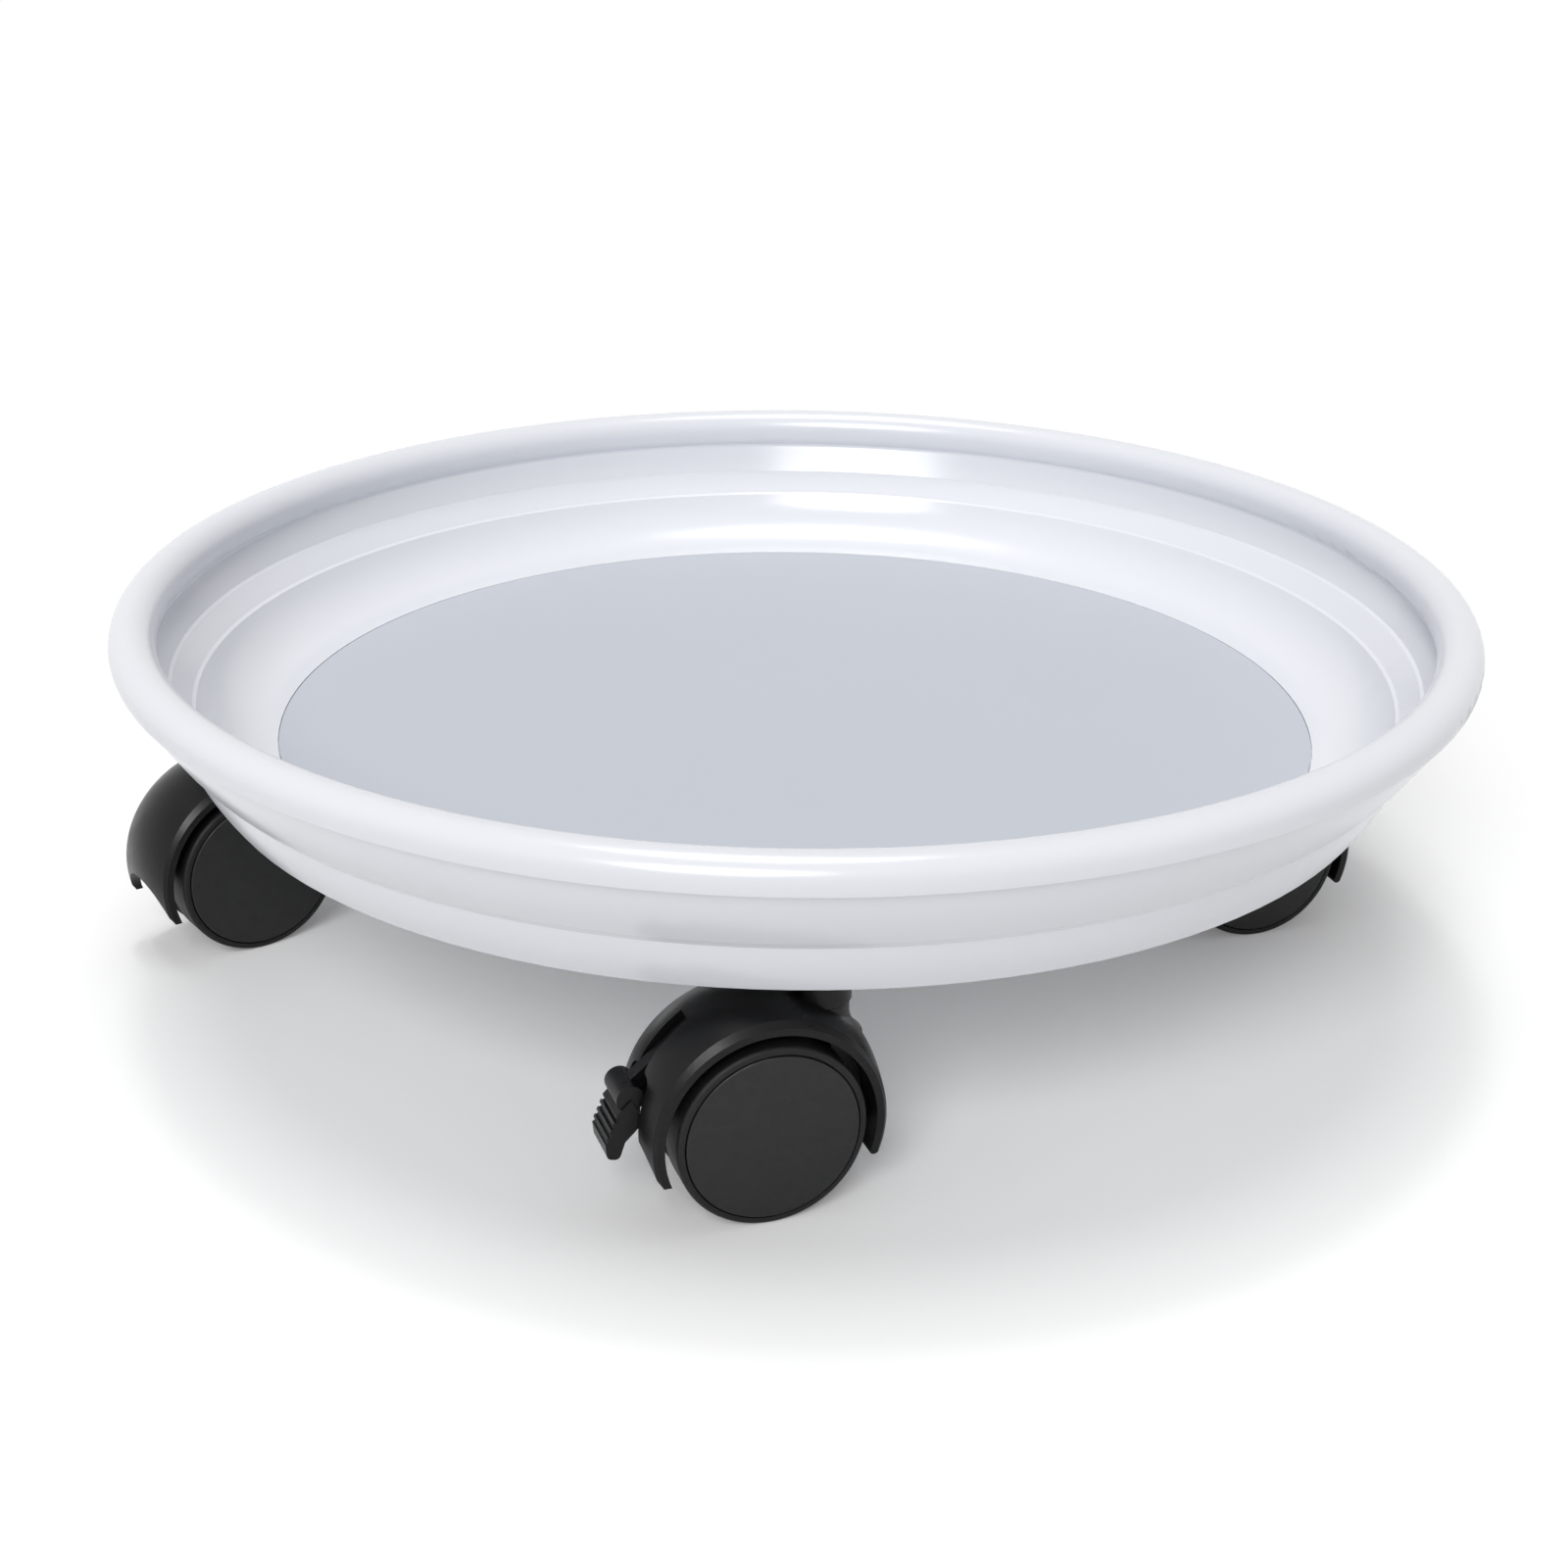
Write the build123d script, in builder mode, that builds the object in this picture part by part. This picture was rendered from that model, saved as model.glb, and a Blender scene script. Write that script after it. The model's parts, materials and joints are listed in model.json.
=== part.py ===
from build123d import *
import os
from math import asin, atan2, cos, degrees, radians, sin, sqrt

# Plant caddy: a round moulded tray on four hooded twin-wheel casters, two of them with a brake lever.
# Frame: origin on the ground under the tray's centre, +Z up, -Y towards the front caster.

os.makedirs("parts", exist_ok=True)

# Wheels
wheel_diameter = 38.0
wheel_width = 8.8
wheel_gap = 0.6  # between a wheel and the hood's middle web
wheel_rim = 3.8
wheel_plate = 1.6
wheel_hub_radius = 5.0
spoke_width = 1.4
spoke_count = 6
spoke_sink = 0.2  # into the hub and the rim
spoke_share = 0.7  # of the plate's depth
wheel_edge = 0.9
cap_inset = 1.75  # from the tread to the cap's edge
cap_thickness = 1.7
cap_proud = 0.3
cap_fit = 0.05
cap_groove = 0.3
axle_bevel = 0.4
axle_radius = 2.5
running_fit = 0.06

# Hood
hood_gap = 2.2  # between tread and hood
lip_wall = 2.0
lip_bevel = 0.5
bevel_reach = 3.0  # of the bevel's cutter, past the lip
hood_half_width = 11.2
crown_rise = 1.4  # how far the middle stands out beyond the lips
crown_lift = 2.2
crown_shift = 0.3
web_half = 2.6
hub_radius = 5.4
hub_proud = 0.3
stem_side_drop = 7.4
web_drop = 5.0
arch_rise = 8.6
trail = 13.0

# Swivel stem and its tower
stem_radius = 3.0
tower_radius = 5.9
tower_rim = 0.4
tower_drop = 0.4  # below the crown's highest point
rim_height = 4.1
flare = 2.6
washer_thickness = 0.5
swivel_gap = 0.2
journal_length = 7.4
clip_thickness = 0.8
clip_wall = 1.4
clip_gap = 0.2
stem_tail = 0.7
stem_bevel = 0.5
grip_groove = 0.7
grip_height = 1.6
grip_slit = 1.2

# Tray
tray_diameter = 305.0
bead_radius = 5.0
bead_rise = 30.4  # bead centre above the floor's underside
bead_start = -20.0
bead_end = 228.0
socket_drop = 3.1
socket_depth = 4.1
socket_wall = 3.6
socket_sink = 0.1  # below the disc's bed
floor_thickness = 2.2
mat_thickness = 0.8
mat_gap = 0.3
foot_inset = 18.8
foot_lift = 0.8
skirt_wall = 2.4
step_inset = 10.9
step_rise = 14.2
step_depth = 1.7
collar_inset = 2.0
collar_rise = 28.0
band_bulge = 0.7
skirt_bulge = 0.6
inner_inset = 8.3
inner_rise = 26.0
ledge_inset = 12.3
ledge_rise = 19.3
second_ledge_inset = 17.1
second_ledge_rise = 14.5
ledge_depth = 0.8
cove_width = 17.0
hollow_rise = 8.4  # from the foot's edge to the hollow's corner
hollow_corner = 1.2
stem_inset = 14.6  # from the foot to the stem circle
rib_height = 2.0
rib_wall = 2.0
rib_count = 8
gusset_count = 16
gusset_lift = 0.4  # above the foot's edge
gusset_sink = 1.0  # into the walls
hub_ring_radius = 20.0
middle_ring_radius = 66.0

# Brake lever, placed by angle and radius about the axle
pivot_angle = 59.7
pivot_depth = 1.0  # below the crown's radius
pin_radius = 0.9
pin_half = 5.2
arm_half = 1.5
arm_thickness = 3.0
barrel_angle = 19.0
barrel_radius = 2.7
barrel_half = 4.2
barrel_proud = 2.6
heel_gap = 2.0  # heel to tread, released
heel_hollow = 0.1
heel_span = 7.0  # half the angle that the heel covers
pedal_half = 4.6
pedal_length = 12.6
pedal_thickness = 3.0
pedal_tilt = -76.0
pedal_grooves = 4
groove_start = 0.3  # first and last groove, and how far out they lie: shares of the pedal
groove_end = 0.72
groove_low = 0.62
groove_high = 1.0
groove_pitch = 1.6
groove_size = 0.5
slot_gap = 0.4
notch_gap = 1.2
notch_corner = 2.5
notch_reach = 4.5  # inwards from the tread
lock_angle = 5.5

# Where each caster stands around the tray, how it is turned, and whether it has a brake
layout = {
    "front": (-87.5, 20.2, True),
    "right": (2.5, 17.5, False),
    "rear": (92.5, 24.0, True),
    "left": (182.5, 36.9, False),
}

# Heights and radii that follow
wheel_radius = wheel_diameter / 2
bay_radius = wheel_radius + hood_gap
lip_radius = bay_radius + lip_wall
crown_radius = lip_radius + crown_rise
wheel_inner = web_half + wheel_gap
wheel_outer = wheel_inner + wheel_width
tower_top = wheel_radius + crown_lift + crown_radius - tower_drop
socket_bottom = tower_top + washer_thickness + swivel_gap
floor_underside = socket_bottom + socket_drop
mat_bed = floor_underside + floor_thickness
floor_top = mat_bed + mat_thickness
rim_radius = tray_diameter / 2
foot_radius = rim_radius - foot_inset
stem_circle = foot_radius - stem_inset
journal_bottom = tower_top - journal_length
clip_top = journal_bottom - clip_gap
stem_bottom = clip_top - clip_thickness - stem_tail
grip_radius = stem_radius + grip_groove
socket_top = socket_bottom + socket_depth


def polar(radius, angle):
    """A point of the caster's side view, by radius and angle about the axle."""
    return (trail + radius * cos(radians(angle)), wheel_radius + radius * sin(radians(angle)))


def write(part, name):
    part.label = name
    export_step(part, f"parts/{name}.step")


# Tray: one moulded shell with a rolled bead, a stepped wall, a cove and a hanging foot
bead_centre = (rim_radius - bead_radius, floor_underside + bead_rise)
foot = (foot_radius, floor_underside + foot_lift)
step_edge = (rim_radius - step_inset, floor_underside + step_rise)
step_root = (step_edge[0] - step_depth, step_edge[1] - step_depth)
collar = (rim_radius - collar_inset, floor_underside + collar_rise)
inner_wall = (rim_radius - inner_inset, floor_underside + inner_rise)
ledge = (rim_radius - ledge_inset, floor_underside + ledge_rise)
second_ledge = (rim_radius - second_ledge_inset, floor_underside + second_ledge_rise)
cove_start = (second_ledge[0] - cove_width, floor_top)
cove_run = second_ledge[0] - cove_start[0]
cove_climb = second_ledge[1] - cove_start[1]
cove_radius = (cove_run**2 + cove_climb**2) / (2 * cove_climb)
under_radius = cove_radius + floor_top - floor_underside
cove_centre = (cove_start[0], cove_start[1] + cove_radius)


def bead_point(angle):
    return (
        bead_centre[0] + bead_radius * cos(radians(angle)),
        bead_centre[1] + bead_radius * sin(radians(angle)),
    )


def bulged(start, end, bulge):
    """Middle of a line in the tray's section, moved outwards."""
    return ((start[0] + end[0]) / 2 + bulge, (start[1] + end[1]) / 2)


def on_cove(radius, arc_radius):
    """Point of the cove, or of its underside, at a radius from the tray's axis."""
    return (radius, cove_centre[1] - sqrt(arc_radius**2 - (radius - cove_centre[0]) ** 2))


bead_foot = bead_point(bead_start)
bead_inside = bead_point(bead_end)
under_start = cove_start[0]
skirt_slope = (step_root[0] - foot[0]) / (step_root[1] - foot[1])
skirt_foot = (foot[0] - skirt_wall, foot[1])
skirt_top = (skirt_foot[0] + skirt_slope * hollow_rise, foot[1] + hollow_rise)
hollow_radius = skirt_top[0] - hollow_corner
hollow_top = on_cove(hollow_radius, under_radius)
gusset_middle = (under_start + hollow_top[0]) / 2
mat_radius = cove_start[0] - mat_gap
stem_angles = [place[0] for place in layout.values()]

with BuildPart() as tray:
    with BuildSketch(Plane.XZ):
        with BuildLine():
            Polyline((0, floor_underside), (under_start, floor_underside))
            ThreePointArc((under_start, floor_underside), on_cove(gusset_middle, under_radius), hollow_top)
            Polyline(hollow_top, skirt_top, skirt_foot, foot)
            ThreePointArc(foot, bulged(foot, step_root, skirt_bulge), step_root)
            Line(step_root, step_edge)
            ThreePointArc(step_edge, bulged(step_edge, collar, band_bulge), collar)
            Line(collar, bead_foot)
            ThreePointArc(bead_foot, bead_point((bead_start + bead_end) / 2), bead_inside)
            Polyline(
                bead_inside,
                inner_wall,
                (ledge[0] + ledge_depth, ledge[1] + ledge_depth / 2),
                ledge,
                (second_ledge[0] + ledge_depth, second_ledge[1] + ledge_depth / 2),
                second_ledge,
            )
            ThreePointArc(second_ledge, on_cove(gusset_middle, cove_radius), cove_start)
            Polyline(cove_start, (cove_start[0], mat_bed), (0, mat_bed), (0, floor_underside))
        make_face()
    revolve(axis=Axis.Z)
    # Radial ribs and two rings under the floor
    with BuildSketch(Plane.XY.offset(floor_underside - rib_height)):
        rib_length = under_start - hub_ring_radius
        for ring_radius in (middle_ring_radius, hub_ring_radius):
            Circle(ring_radius + rib_wall / 2)
            Circle(ring_radius - rib_wall / 2, mode=Mode.SUBTRACT)
        with PolarLocations(hub_ring_radius + rib_length / 2, rib_count, start_angle=stem_angles[0]):
            Rectangle(rib_length, rib_wall)
    extrude(amount=rib_height + floor_thickness / 2)
    # Sockets for the stems
    with BuildSketch(Plane.XY.offset(socket_bottom)):
        with PolarLocations(stem_circle, len(layout), start_angle=stem_angles[0]):
            Circle(grip_radius + socket_wall)
    extrude(amount=mat_bed - socket_bottom - socket_sink)
    with BuildSketch(Plane.XY.offset(socket_bottom)):
        with PolarLocations(stem_circle, len(layout), start_angle=stem_angles[0]):
            Circle(grip_radius)
    extrude(amount=socket_depth, mode=Mode.SUBTRACT)
    # Gussets in the hollow between the cove and the foot
    for index in range(gusset_count):
        turn = stem_angles[0] + 360 / gusset_count * (index + 0.5)
        with BuildSketch(Plane.XZ.rotated((0, 0, turn))):
            Polygon(
                (under_start + gusset_sink, foot[1] + gusset_lift),
                (skirt_foot[0] + skirt_slope * gusset_lift + gusset_sink, foot[1] + gusset_lift),
                (skirt_top[0] + gusset_sink, skirt_top[1]),
                (hollow_top[0], hollow_top[1] + gusset_sink),
                (gusset_middle, on_cove(gusset_middle, under_radius)[1] + gusset_sink),
                align=None,
            )
        extrude(amount=rib_wall / 2, both=True)
write(tray.part, "tray")

# Grey disc that lies in the tray's floor
with BuildPart() as floor_disc:
    with BuildSketch(Plane.XY.offset(mat_bed)):
        Circle(mat_radius)
    extrude(amount=mat_thickness)
write(floor_disc.part, "floor_disc")

# Hood and fork of one caster: stem axis at x = 0, trailing towards +X, axle along Y
crown_centre = (trail + crown_shift, wheel_radius + crown_lift)
axle_line = Axis((trail, 0, wheel_radius), (0, 1, 0))
axle_plane = Plane(origin=(trail, 0, wheel_radius), x_dir=(0, 1, 0), z_dir=(1, 0, 0))
lip_middle = bay_radius + lip_wall / 2
lip_end_turn = asin(stem_side_drop / lip_middle)


def hood_section(side):
    """Centre and radius of the hood's outline at a share of its half width."""
    share = 1 - side * side
    x = trail + (crown_centre[0] - trail) * share
    z = wheel_radius + crown_lift * share
    return (x, z), lip_radius + crown_rise * share


pivot = polar(crown_radius - pivot_depth, pivot_angle)
barrel = polar(crown_radius + barrel_proud, barrel_angle)
arm_length = sqrt((barrel[0] - pivot[0]) ** 2 + (barrel[1] - pivot[1]) ** 2)
arm_angle = degrees(atan2(barrel[1] - pivot[1], barrel[0] - pivot[0]))
heel_travel = arm_length * sin(radians(lock_angle))
notch_half = pedal_half + slot_gap
notch_top = barrel[1] + barrel_radius + notch_gap
notch_start = trail + wheel_radius - notch_reach


def build_hood(braked):
    with BuildPart() as hood:
        for side in (-1, -0.5, 0, 0.5, 1):
            centre, radius = hood_section(side)
            with BuildSketch(Plane.XZ.offset(-side * hood_half_width)):
                with Locations(centre):
                    Circle(radius)
        loft()
        # Bevelled lips
        for side in (-1, 1):
            with BuildSketch(axle_plane):
                Polygon(
                    (side * (hood_half_width - lip_bevel - bevel_reach), lip_radius + bevel_reach),
                    (side * (hood_half_width + bevel_reach), lip_radius + bevel_reach),
                    (side * (hood_half_width + bevel_reach), lip_radius - lip_bevel - bevel_reach),
                    align=None,
                )
            revolve(axis=axle_line, mode=Mode.SUBTRACT)
        # Tower round the stem, with a rim on top and a flare at its foot
        with BuildSketch(Plane.XZ):
            with BuildLine():
                rim_bottom = tower_top - rim_height
                flare_bottom = rim_bottom - 3 * flare
                Polyline(
                    (0, flare_bottom - flare),
                    (0, tower_top),
                    (tower_radius + tower_rim, tower_top),
                    (tower_radius + tower_rim, rim_bottom),
                    (tower_radius, rim_bottom - tower_rim),
                    (tower_radius, rim_bottom - flare),
                )
                ThreePointArc(
                    (tower_radius, rim_bottom - flare),
                    (tower_radius + flare * 0.25, rim_bottom - 2.1 * flare),
                    (tower_radius + flare, flare_bottom),
                )
                Polyline((tower_radius + flare, flare_bottom), (0, flare_bottom - flare))
            make_face()
        revolve(axis=Axis.Z)
        # Wheel bays
        for side in (-1, 1):
            with BuildSketch(Plane.XZ.offset(-side * web_half)):
                with Locations((trail, wheel_radius)):
                    Circle(bay_radius)
            extrude(amount=-side * hood_half_width * 2, mode=Mode.SUBTRACT)
        # Open underside, higher under the web
        with BuildSketch(Plane.XZ):
            with Locations((trail, wheel_radius - stem_side_drop - crown_radius)):
                Rectangle(4 * crown_radius, 2 * crown_radius)
            with Locations((trail, wheel_radius - web_drop - bay_radius / 2)):
                Rectangle(2 * sqrt(bay_radius**2 - stem_side_drop**2), bay_radius)
        extrude(amount=hood_half_width * 2, both=True, mode=Mode.SUBTRACT)
        # Arched edge on the trailing side
        arch_radius = (hood_half_width**2 + arch_rise**2) / (2 * arch_rise)
        with BuildSketch(Plane.YZ.offset(trail + hub_radius)):
            with Locations((0, wheel_radius - stem_side_drop + arch_rise - arch_radius)):
                Circle(arch_radius)
        extrude(amount=crown_radius * 2, mode=Mode.SUBTRACT)
        # Rounded end of the lip on the stem side
        with BuildSketch(Plane.XZ):
            with Locations((trail - lip_middle * cos(lip_end_turn), wheel_radius - stem_side_drop)):
                Circle(lip_wall / 2)
        extrude(amount=hood_half_width - lip_bevel, both=True)
        # Axle hub
        with BuildSketch(Plane.XZ):
            with Locations((trail, wheel_radius)):
                Circle(hub_radius)
        extrude(amount=web_half + hub_proud, both=True)
        with BuildSketch(Plane.XZ):
            with Locations((trail, wheel_radius)):
                Circle(axle_radius)
        extrude(amount=hood_half_width, both=True, mode=Mode.SUBTRACT)
        # Stem bore with room for its clip below
        with BuildSketch(Plane.XY.offset(tower_top)):
            Circle(stem_radius + running_fit)
        extrude(amount=wheel_radius - tower_top, mode=Mode.SUBTRACT)
        with BuildSketch(Plane.XY.offset(journal_bottom)):
            Circle(stem_radius + clip_wall + slot_gap)
        extrude(amount=-(journal_bottom - stem_bottom + slot_gap), mode=Mode.SUBTRACT)
        if braked:
            # Notch for the lever's barrel and pedal
            with BuildSketch(Plane.YZ.offset(notch_start)):
                with Locations((0, notch_top - wheel_radius)):
                    RectangleRounded(2 * notch_half, 2 * wheel_radius, notch_corner)
            extrude(amount=crown_radius, mode=Mode.SUBTRACT)
            # Slot for the arm and holes for its pin
            slot_width = arm_thickness + 2 * slot_gap
            with BuildSketch(Plane.XZ):
                with Locations(pivot):
                    Circle(slot_width / 2 + slot_gap)
                with Locations(Location((pivot[0], pivot[1]), arm_angle)):
                    Rectangle(arm_length, slot_width + 2 * heel_travel, align=(Align.MIN, Align.CENTER))
                    Rectangle(arm_length, crown_radius / 2, align=(Align.MIN, Align.MIN))
            extrude(amount=arm_half + slot_gap, both=True, mode=Mode.SUBTRACT)
            with BuildSketch(Plane.XZ):
                with Locations(pivot):
                    Circle(pin_radius)
            extrude(amount=pin_half, both=True, mode=Mode.SUBTRACT)
    return hood.part


hoods = {braked: build_hood(braked) for braked in (True, False)}

# Wheel, its cap and the axle, drawn along the axle by radius
cap_inner = wheel_outer - cap_thickness
rim_face = wheel_outer - cap_proud
cap_radius = wheel_radius - cap_inset
plate_outer = cap_inner - cap_thickness
plate_inner = plate_outer - wheel_plate
bore_radius = axle_radius + running_fit


def build_wheel(side):
    rim_inner = wheel_radius - wheel_rim
    with BuildPart() as wheel:
        with BuildSketch(axle_plane):
            Polygon(
                (side * wheel_inner, bore_radius),
                (side * wheel_inner, wheel_hub_radius),
                (side * plate_inner, wheel_hub_radius),
                (side * plate_inner, rim_inner),
                (side * wheel_inner, rim_inner),
                (side * wheel_inner, wheel_radius),
                (side * rim_face, wheel_radius),
                (side * rim_face, cap_radius + cap_groove),
                (side * cap_inner, cap_radius + cap_groove),
                (side * cap_inner, rim_inner),
                (side * plate_outer, rim_inner),
                (side * plate_outer, wheel_hub_radius),
                (side * cap_inner, wheel_hub_radius),
                (side * cap_inner, bore_radius),
                align=None,
            )
        revolve(axis=axle_line)
        tread_edges = wheel.edges().filter_by(GeomType.CIRCLE).group_by(SortBy.RADIUS)[-1]
        fillet(tread_edges, wheel_edge)
        # Spokes on the inner side
        with BuildSketch(Plane.XZ.offset(-side * plate_inner)):
            spoke_length = rim_inner - wheel_hub_radius
            with Locations((trail, wheel_radius)):
                with PolarLocations(wheel_hub_radius + spoke_length / 2, spoke_count):
                    Rectangle(spoke_length + 2 * spoke_sink, spoke_width)
        extrude(amount=side * (plate_inner - wheel_inner) * spoke_share)
    return wheel.part


def build_cap(side):
    with BuildPart() as cap:
        with BuildSketch(Plane.XZ.offset(-side * cap_inner)):
            with Locations((trail, wheel_radius)):
                Circle(cap_radius)
        extrude(amount=-side * cap_thickness)
        fillet(cap.faces().sort_by(Axis.Y)[-1 if side > 0 else 0].edges(), cap_proud)
    return cap.part


with BuildPart() as axle:
    with BuildSketch(Plane.XZ):
        with Locations((trail, wheel_radius)):
            Circle(axle_radius)
    extrude(amount=cap_inner - 2 * cap_fit, both=True)
    chamfer(axle.edges().filter_by(GeomType.CIRCLE), axle_bevel)

# Swivel stem with its clip, grip ring and thrust washer
groove_radius = stem_radius - grip_groove
grip_bottom = (socket_bottom + socket_top - grip_height) / 2


def build_ring(bottom, height, outer):
    """An open spring ring in a groove of the stem."""
    with BuildPart() as ring:
        with BuildSketch(Plane.XY.offset(bottom)):
            Circle(outer)
            Circle(groove_radius + cap_fit, mode=Mode.SUBTRACT)
            with Locations((outer, 0)):
                Rectangle(2 * outer, grip_slit, mode=Mode.SUBTRACT)
        extrude(amount=height)
    return ring.part


with BuildPart() as stem:
    with BuildSketch(Plane.XY.offset(stem_bottom)):
        Circle(stem_radius)
    extrude(amount=socket_top - stem_bottom)
    chamfer(stem.edges().filter_by(GeomType.CIRCLE), stem_bevel)
    for bottom, height in ((clip_top - clip_thickness, clip_thickness), (grip_bottom, grip_height)):
        with BuildSketch(Plane.XY.offset(bottom - cap_fit)):
            Circle(2 * stem_radius)
            Circle(groove_radius, mode=Mode.SUBTRACT)
        extrude(amount=height + 2 * cap_fit, mode=Mode.SUBTRACT)

with BuildPart() as washer:
    with BuildSketch(Plane.XY.offset(tower_top)):
        Circle(tower_radius)
        Circle(stem_radius + 2 * cap_fit, mode=Mode.SUBTRACT)
    extrude(amount=washer_thickness)

# Brake lever: an arm in the hood's slot, a barrel, a heel above the treads and a grooved pedal
pedal_along = (cos(radians(pedal_tilt)), sin(radians(pedal_tilt)))
pedal_out = (-pedal_along[1], pedal_along[0])


def on_pedal(along, out):
    """A point of the pedal, by distance from the barrel's centre along it and out of it."""
    return (
        barrel[0] + along * pedal_along[0] + out * pedal_out[0],
        barrel[1] + along * pedal_along[1] + out * pedal_out[1],
    )


with BuildPart() as lever:
    with BuildSketch(Plane.XZ):
        with Locations(pivot):
            Circle(arm_thickness / 2)
        with Locations(Location((pivot[0], pivot[1]), arm_angle)):
            Rectangle(arm_length, arm_thickness, align=(Align.MIN, Align.CENTER))
    extrude(amount=arm_half, both=True)
    with BuildSketch(Plane.XZ):
        with Locations(barrel):
            Circle(barrel_radius)
        Polygon(
            barrel,
            polar(wheel_radius + heel_gap, barrel_angle + heel_span),
            polar(wheel_radius + heel_gap + heel_hollow, barrel_angle),
            polar(wheel_radius + heel_gap, barrel_angle - heel_span),
            align=None,
        )
    extrude(amount=barrel_half, both=True)
    with BuildSketch(Plane.XZ):
        Polygon(
            on_pedal(0, 0),
            on_pedal(pedal_length * 0.28, pedal_thickness * 0.7),
            on_pedal(pedal_length * 0.74, pedal_thickness),
            on_pedal(pedal_length, pedal_thickness * 0.6),
            on_pedal(pedal_length, -pedal_thickness * 0.2),
            on_pedal(pedal_length * 0.7, -pedal_thickness * 0.3),
            on_pedal(pedal_length * 0.44, -pedal_thickness * 0.95),
            on_pedal(pedal_length * 0.2, -pedal_thickness * 0.8),
            align=None,
        )
    extrude(amount=pedal_half, both=True)
    toe_edges = lever.edges().filter_by(Axis.Y).sort_by(Axis.Z)[:2]
    fillet(toe_edges, pedal_thickness * 0.36)
    with BuildSketch(Plane.XZ):
        for index in range(pedal_grooves):
            along = pedal_length * groove_start + groove_pitch * (index + 0.3)
            share = (along / pedal_length - groove_start) / (groove_end - groove_start)
            out = groove_low + (groove_high - groove_low) * min(share, 1)
            with Locations(on_pedal(along, pedal_thickness * out)):
                Circle(groove_size)
    extrude(amount=pedal_half * 2, both=True, mode=Mode.SUBTRACT)
    with BuildSketch(Plane.XZ):
        with Locations(pivot):
            Circle(pin_radius + running_fit)
    extrude(amount=arm_half * 2, both=True, mode=Mode.SUBTRACT)

with BuildPart() as pin:
    with BuildSketch(Plane.XZ):
        with Locations(pivot):
            Circle(pin_radius)
    extrude(amount=pin_half, both=True)

wheels = {side: build_wheel(side) for side in (-1, 1)}
caps = {side: build_cap(side) for side in (-1, 1)}
grip_ring = build_ring(grip_bottom, grip_height, grip_radius)
clip = build_ring(clip_top - clip_thickness, clip_thickness, stem_radius + clip_wall)

# Each caster: the same pieces, stood at its stem and turned to where it trails
for place, (around, swivel, braked) in layout.items():
    spot = (stem_circle * cos(radians(around)), stem_circle * sin(radians(around)), 0)
    stand = Location(spot, (0, 0, 180 + swivel))
    pieces = {
        "hood": hoods[braked],
        "axle": axle.part,
        "stem": stem.part,
        "stem_grip_ring": grip_ring,
        "stem_clip": clip,
        "thrust_washer": washer.part,
        "wheel_left": wheels[-1],
        "wheel_right": wheels[1],
        "wheel_cap_left": caps[-1],
        "wheel_cap_right": caps[1],
    }
    if braked:
        pieces["brake_lever"] = lever.part
        pieces["brake_pin"] = pin.part
    for piece, solid in pieces.items():
        write(stand * solid, f"{place}_{piece}")
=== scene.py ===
import json
from math import atan, cos, radians, sin

import bpy
from mathutils import Matrix, Vector

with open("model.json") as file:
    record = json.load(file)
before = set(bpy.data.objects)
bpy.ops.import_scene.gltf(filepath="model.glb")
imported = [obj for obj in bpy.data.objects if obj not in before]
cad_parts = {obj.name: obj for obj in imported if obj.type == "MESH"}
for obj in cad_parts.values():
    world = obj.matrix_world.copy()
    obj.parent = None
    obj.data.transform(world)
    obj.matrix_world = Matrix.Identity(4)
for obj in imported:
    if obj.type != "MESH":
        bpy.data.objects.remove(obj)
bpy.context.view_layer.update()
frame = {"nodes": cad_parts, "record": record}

# Camera: a photo of 1600 by 1600 pixels, seen from 19 degrees above the ground
photo_size = 1600
focal_pixels = 2500
photo_centre_x = 810.3
photo_centre_y = 604.1
elevation = radians(18.94)
roll = radians(-0.72)
distance = 0.5615
target = Vector((0, 0, 0.0811))

back = Vector((0, -cos(elevation), sin(elevation)))
forward = -back
right = Vector((1, 0, 0))
up = right.cross(forward)
yaw = atan((photo_centre_x - photo_size / 2) / focal_pixels)
pitch = atan((photo_centre_y - photo_size / 2) / focal_pixels)
right, forward = right * cos(yaw) + forward * sin(yaw), forward * cos(yaw) - right * sin(yaw)
up, forward = up * cos(pitch) - forward * sin(pitch), up * sin(pitch) + forward * cos(pitch)
side = right * cos(roll) - up * sin(roll)
top = right * sin(roll) + up * cos(roll)

camera_data = bpy.data.cameras.new("camera")
camera_data.sensor_width = 36
camera_data.lens = camera_data.sensor_width * focal_pixels / photo_size
camera_data.clip_start = 0.01
camera = bpy.data.objects.new("camera", camera_data)
camera_matrix = Matrix((side, top, -forward)).transposed().to_4x4()
camera_matrix.translation = target + back * distance
camera.matrix_world = camera_matrix
bpy.context.scene.collection.objects.link(camera)
bpy.context.scene.camera = camera
bpy.context.scene.view_settings.view_transform = "Standard"


# Materials
def material(name):
    made = bpy.data.materials.new(name)
    made.use_nodes = True
    tree = made.node_tree
    return made, tree, tree.nodes["Principled BSDF"]


def noise(tree, scale, detail):
    place = tree.nodes.new("ShaderNodeTexCoord")
    made = tree.nodes.new("ShaderNodeTexNoise")
    made.inputs["Scale"].default_value = scale
    made.inputs["Detail"].default_value = detail
    tree.links.new(place.outputs["Object"], made.inputs["Vector"])
    return made.outputs["Fac"]


def spread(tree, value, low, high):
    """Maps a noise's middle range to low and high."""
    noise_low = 0.3
    noise_high = 0.7
    made = tree.nodes.new("ShaderNodeMapRange")
    made.inputs["From Min"].default_value = noise_low
    made.inputs["From Max"].default_value = noise_high
    made.inputs["To Min"].default_value = low
    made.inputs["To Max"].default_value = high
    tree.links.new(value, made.inputs["Value"])
    return made.outputs["Result"]


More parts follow.
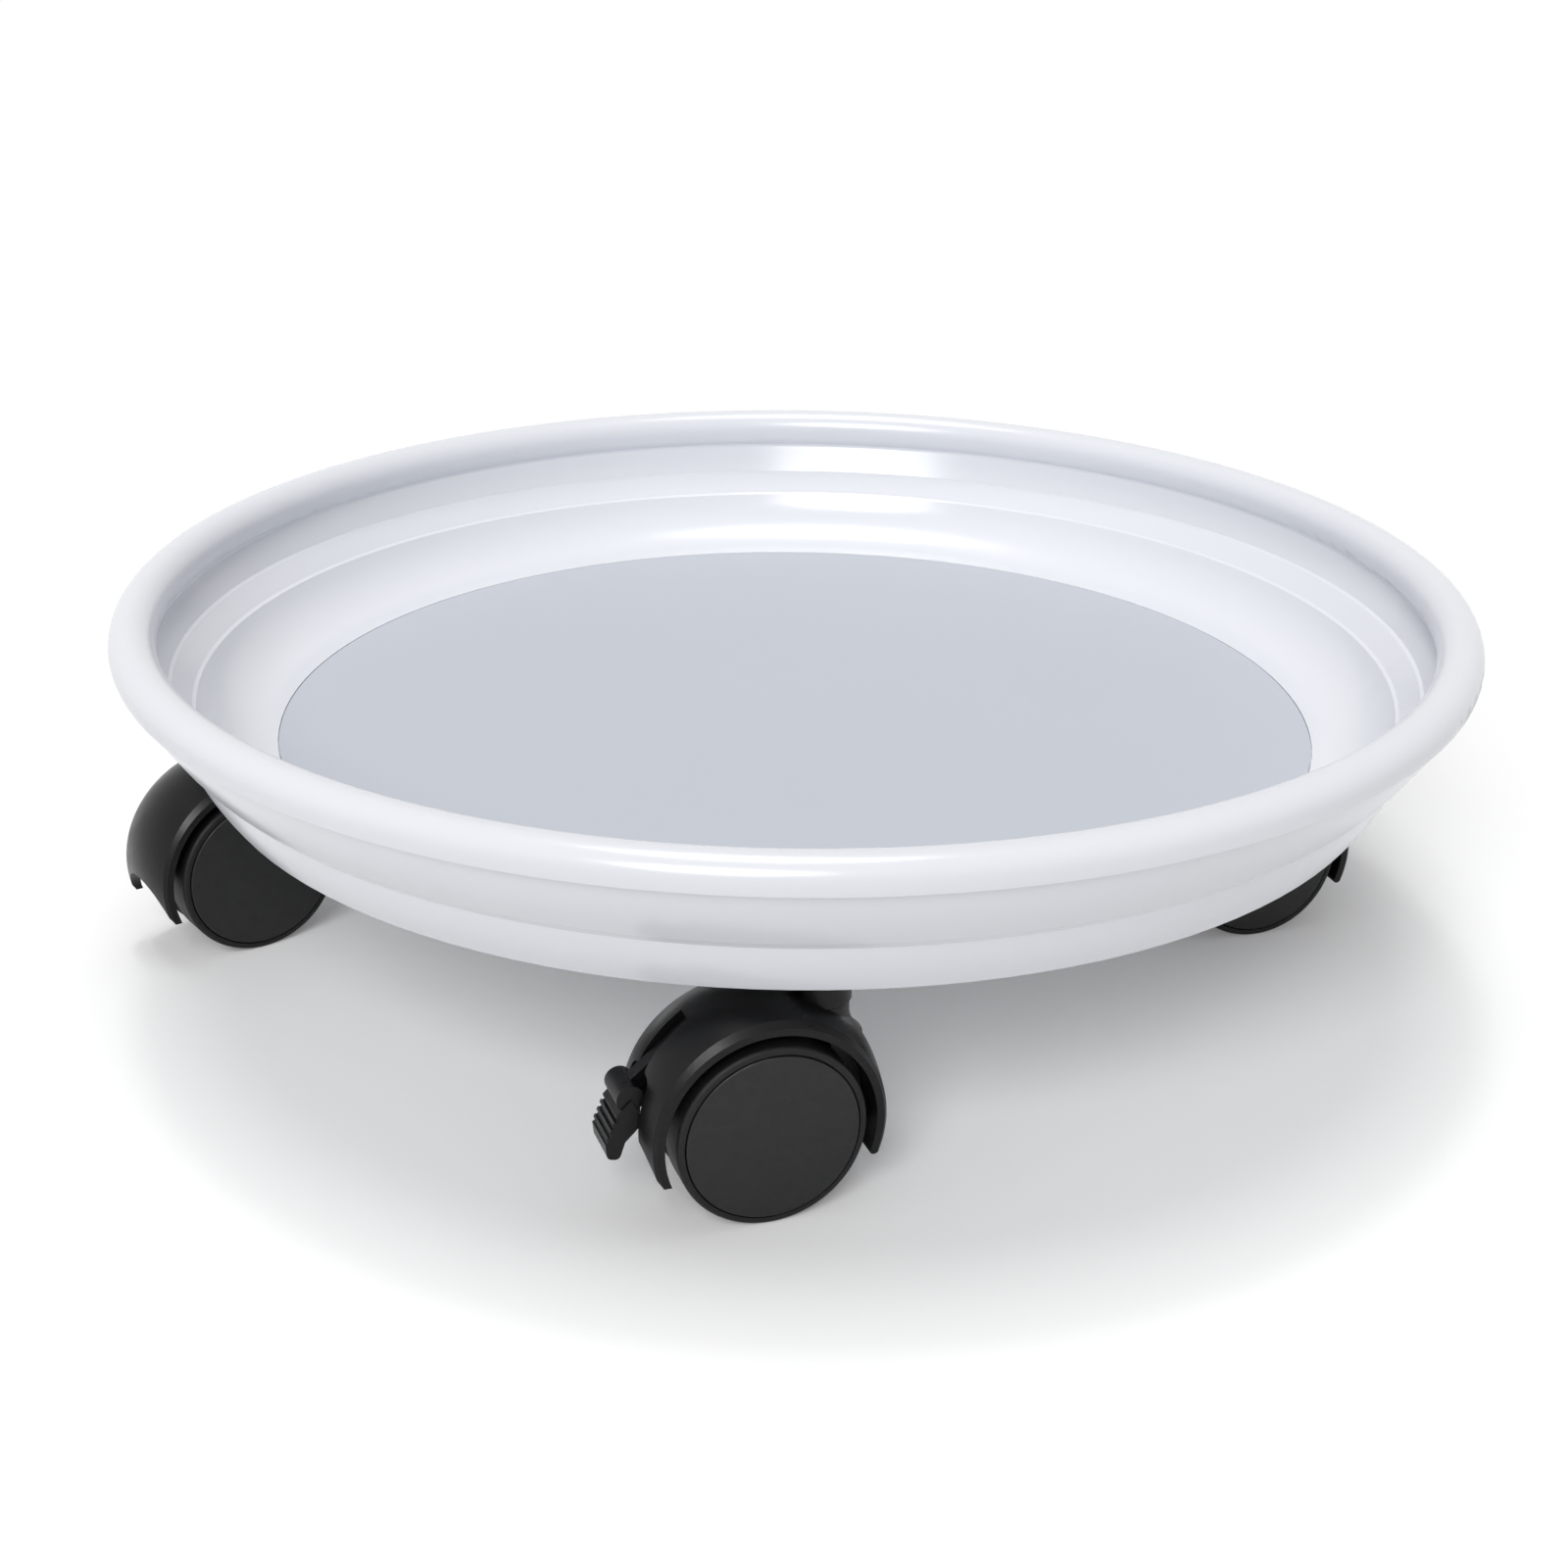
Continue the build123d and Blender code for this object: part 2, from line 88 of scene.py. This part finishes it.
def blend_colours(tree, factor, first, second):
    made = tree.nodes.new("ShaderNodeMix")
    made.data_type = "RGBA"
    made.inputs["A"].default_value = (*first, 1)
    made.inputs["B"].default_value = (*second, 1)
    tree.links.new(factor, made.inputs["Factor"])
    return made.outputs["Result"]


def bump(tree, shader, height, depth):
    strength = 0.5
    made = tree.nodes.new("ShaderNodeBump")
    made.inputs["Strength"].default_value = strength
    made.inputs["Distance"].default_value = depth
    tree.links.new(height, made.inputs["Height"])
    tree.links.new(made.outputs["Normal"], shader.inputs["Normal"])


def plastic(name, colour, darker, roughness, grain_scale, grain_depth, specular, blotch_scale):
    """Moulded plastic: faint blotches in its colour, an uneven gloss and a fine grain."""
    made, tree, shader = material(name)
    blotches = spread(tree, noise(tree, blotch_scale, 4.0), 0, 1)
    tree.links.new(blend_colours(tree, blotches, darker, colour), shader.inputs["Base Color"])
    smears = noise(tree, blotch_scale * 2, 2.0)
    tree.links.new(spread(tree, smears, *roughness), shader.inputs["Roughness"])
    shader.inputs["Specular IOR Level"].default_value = specular
    bump(tree, shader, noise(tree, grain_scale, 2.0), grain_depth)
    return made


def metal(name, colour, roughness):
    """Turned steel, with fine marks."""
    marks_scale = 900.0
    made, tree, shader = material(name)
    marks = noise(tree, marks_scale, 4.0)
    worn = [share * 0.8 for share in colour]
    tree.links.new(
        blend_colours(tree, spread(tree, marks, 0, 1), worn, colour), shader.inputs["Base Color"]
    )
    tree.links.new(spread(tree, marks, *roughness), shader.inputs["Roughness"])
    shader.inputs["Metallic"].default_value = 1.0
    return made


looks = {
    "tray_white": plastic(
        "tray_white",
        colour=(0.765, 0.781, 0.825),
        darker=(0.755, 0.771, 0.815),
        roughness=(0.16, 0.22),
        grain_scale=160,
        grain_depth=0.00001,
        specular=0.5,
        blotch_scale=14,
    ),
    "disc_grey": plastic(
        "disc_grey",
        colour=(0.54, 0.565, 0.62),
        darker=(0.53, 0.555, 0.61),
        roughness=(0.5, 0.6),
        grain_scale=600,
        grain_depth=0.00001,
        specular=0.3,
        blotch_scale=14,
    ),
    "caster_black": plastic(
        "caster_black",
        colour=(0.0045, 0.0045, 0.005),
        darker=(0.003, 0.003, 0.0035),
        roughness=(0.26, 0.4),
        grain_scale=1500,
        grain_depth=0.00006,
        specular=0.25,
        blotch_scale=60,
    ),
    "wheel_black": plastic(
        "wheel_black",
        colour=(0.008, 0.008, 0.0085),
        darker=(0.006, 0.006, 0.0065),
        roughness=(0.46, 0.6),
        grain_scale=1500,
        grain_depth=0.00006,
        specular=0.3,
        blotch_scale=60,
    ),
    "steel": metal("steel", (0.62, 0.62, 0.62), roughness=(0.24, 0.38)),
    "spring_steel": metal("spring_steel", (0.46, 0.46, 0.47), roughness=(0.3, 0.44)),
}

# The wheel caps share the hoods' plastic, but their flat faces are paler and grained
cap_black = plastic(
    "cap_black",
    colour=(0.0115, 0.0115, 0.012),
    darker=(0.008, 0.008, 0.0085),
    roughness=(0.36, 0.56),
    grain_scale=1300,
    grain_depth=0.00009,
    specular=0.4,
    blotch_scale=400,
)
slots = {part["node"]: part["material_slot"] for part in frame["record"]["subparts"]}
for name, node in frame["nodes"].items():
    node.data.materials.clear()
    node.data.materials.append(cap_black if "wheel_cap" in name else looks[slots[name]])

# Floor, seen as white, with the object's shadow on it
floor_size = 8.0
floor_colour = 0.86
floor_roughness = 0.9
floor_glow_level = 0.13
bpy.ops.mesh.primitive_plane_add(size=floor_size, location=(0, 0, 0))
floor = bpy.context.object
floor.name = "floor"


def seen_rays(tree):
    """1 for the camera's rays and for reflections, 0 for the light that falls on the object."""
    path = tree.nodes.new("ShaderNodeLightPath")
    total = path.outputs["Is Camera Ray"]
    for ray in ("Is Glossy Ray", "Is Transmission Ray"):
        made = tree.nodes.new("ShaderNodeMath")
        made.operation = "MAXIMUM"
        tree.links.new(total, made.inputs[0])
        tree.links.new(path.outputs[ray], made.inputs[1])
        total = made.outputs["Value"]
    return total


floor_material, floor_tree, floor_shader = material("floor")
floor_shader.inputs["Base Color"].default_value = (floor_colour, floor_colour, floor_colour, 1)
floor_shader.inputs["Roughness"].default_value = floor_roughness
floor_shader.inputs["Specular IOR Level"].default_value = 0.0
floor_shader.inputs["Emission Color"].default_value = (1, 1, 1, 1)
floor_glow = floor_tree.nodes.new("ShaderNodeMath")
floor_glow.operation = "MULTIPLY"
floor_glow.inputs[1].default_value = floor_glow_level
floor_tree.links.new(seen_rays(floor_tree), floor_glow.inputs[0])
floor_tree.links.new(floor_glow.outputs["Value"], floor_shader.inputs["Emission Strength"])
floor.data.materials.append(floor_material)

# Light: an even pale room, two soft lamps and a narrow one for the highlights
room_level = 0.29
world = bpy.data.worlds.new("room")
bpy.context.scene.world = world
world.use_nodes = True
world_tree = world.node_tree
world_light = world_tree.nodes["Background"]
world_light.inputs["Color"].default_value = (1, 1, 1, 1)
level = world_tree.nodes.new("ShaderNodeMapRange")
level.inputs["To Min"].default_value = room_level
level.inputs["To Max"].default_value = 1.0
world_tree.links.new(seen_rays(world_tree), level.inputs["Value"])
world_tree.links.new(level.outputs["Result"], world_light.inputs["Strength"])


def sunlight(name, place, strength, width):
    """Even light from the side where place is, as soft as its width in degrees."""
    data = bpy.data.lights.new(name, "SUN")
    data.energy = strength
    data.angle = radians(width)
    made = bpy.data.objects.new(name, data)
    made.rotation_mode = "QUATERNION"
    made.rotation_quaternion = (-Vector(place)).to_track_quat("-Z", "Y")
    bpy.context.scene.collection.objects.link(made)


sunlight("front", place=(-0.2, -0.85, 0.7), strength=1.6, width=28)
sunlight("overhead", place=(-0.05, 0.1, 1.0), strength=0.95, width=28)
sunlight("highlight", place=(-0.05, 0.3, 1.0), strength=0.35, width=7)
